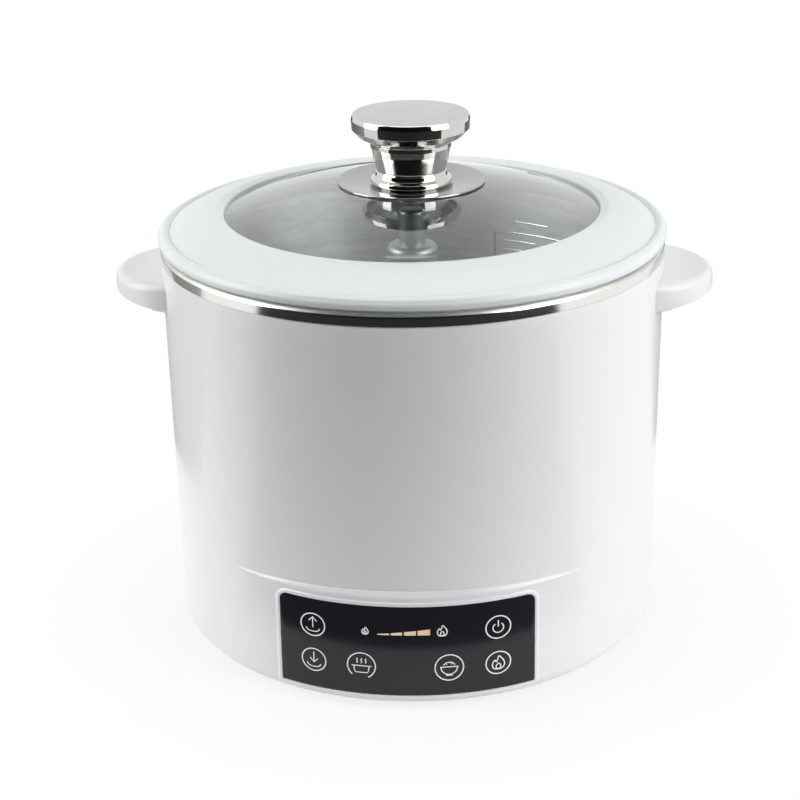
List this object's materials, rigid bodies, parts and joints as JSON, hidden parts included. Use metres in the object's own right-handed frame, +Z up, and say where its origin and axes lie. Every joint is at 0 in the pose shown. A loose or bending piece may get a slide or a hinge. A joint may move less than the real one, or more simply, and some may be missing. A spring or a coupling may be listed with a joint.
{
  "type": "electric hot pot with lid",
  "caption": "Round white electric hot pot with a glass lid, a polished knob, two side handles, a touch panel and a strainer basket raised from the centre.",
  "frame": {"origin": "centre of the plane that the four feet stand on, on the pot's axis", "axes": "+Z up, the control panel faces -Y, the two handles point along +X and -X"},
  "size_m": [0.32, 0.27, 0.2803],
  "materials": {
    "white_shell": "glossy white moulding",
    "panel_black": "glossy black overlay with printed key rings",
    "circuit_board": "green solder mask",
    "screw_steel": "zinc plated",
    "spring_steel": "tinned spring wire",
    "guide_white": "translucent white",
    "level_light": "warm white LED",
    "brushed_pot": "brushed inside, polished rim",
    "cast_aluminium": "cast",
    "element_steel": "heat-tinted tube",
    "sensor_metal": "satin",
    "fuse_white": "ceramic",
    "seal_silicone": "matt silicone",
    "ring_silicone": "pale white silicone",
    "motor_steel": "zinc plated can",
    "relay_blue": "moulded",
    "ferrite_yellow": "taped windings",
    "inlet_black": "moulded",
    "pin_brass": "bright",
    "nut_brass": "machined",
    "screw_ground": "ground",
    "cover_grey": "fine spark texture",
    "foot_rubber": "matt",
    "lid_glass": "clear tempered",
    "knob_chrome": "polished stainless steel"
  },
  "bodies": {
    "cooker": {"outer_shell": "white_shell", "control_panel": "panel_black", "control_board": "circuit_board", "board_screws": "screw_steel", "touch_springs": "spring_steel", "light_guide": "guide_white", "level_leds": "level_light", "inner_pot": "brushed_pot", "handle_right": "white_shell", "handle_left": "white_shell", "handle_screws": "screw_steel", "heating_element": "element_steel", "heating_plate": "cast_aluminium", "temperature_sensor": "sensor_metal", "thermal_fuse": "fuse_white", "support_posts": "screw_steel", "guide_column": "brushed_pot", "column_gasket": "seal_silicone", "column_nut": "screw_steel", "lower_bush": "guide_white", "upper_bush": "guide_white", "lift_motor": "motor_steel", "motor_bracket": "motor_steel", "motor_screws": "screw_steel", "power_board": "circuit_board", "power_board_screws": "screw_steel", "relay": "relay_blue", "transformer": "ferrite_yellow", "capacitor": "sensor_metal", "power_inlet": "inlet_black", "inlet_pins": "pin_brass", "inlet_screws": "screw_steel", "bottom_cover": "cover_grey", "feet": "foot_rubber", "cover_screws": "screw_steel"},
    "carriage": {"lift_nut": "nut_brass", "push_tube": "brushed_pot", "tube_cap": "brushed_pot"},
    "screw": {"lead_screw": "screw_ground", "shaft_coupler": "motor_steel", "motor_shaft": "screw_steel"},
    "basket": {"basket_bowl": "brushed_pot", "basket_floor": "brushed_pot", "basket_rim": "brushed_pot", "basket_sleeve": "brushed_pot", "basket_stem": "brushed_pot"},
    "lid": {"lid_glass": "lid_glass", "lid_ring": "ring_silicone", "upper_gasket": "seal_silicone", "knob_dish": "knob_chrome", "knob_neck": "knob_chrome", "knob_cap": "knob_chrome", "lower_gasket": "seal_silicone", "lid_washer": "motor_steel", "lid_screw": "screw_ground"}
  },
  "joints": [
    {"name": "carriage_lift", "type": "slide", "parent": "cooker", "child": "carriage", "axis": [0, 0, 1], "range_m": [0, 0.09]},
    {"name": "screw_spin", "type": "hinge", "parent": "cooker", "child": "screw", "pos_m": [0, 0, 0.06], "axis": [0, 0, 1], "range_deg": [-4051, 1]},
    {"name": "basket_lift_off", "type": "slide", "parent": "carriage", "child": "basket", "axis": [0, 0, 1], "range_m": [0, 0.14]},
    {"name": "lid_lift_off", "type": "slide", "parent": "basket", "child": "lid", "axis": [0, 0, 1], "range_m": [0, 0.1]}
  ],
  "couplings": [
    {"joint": "screw_spin", "follows": "carriage_lift", "rad_per_m": -785.4}
  ]
}
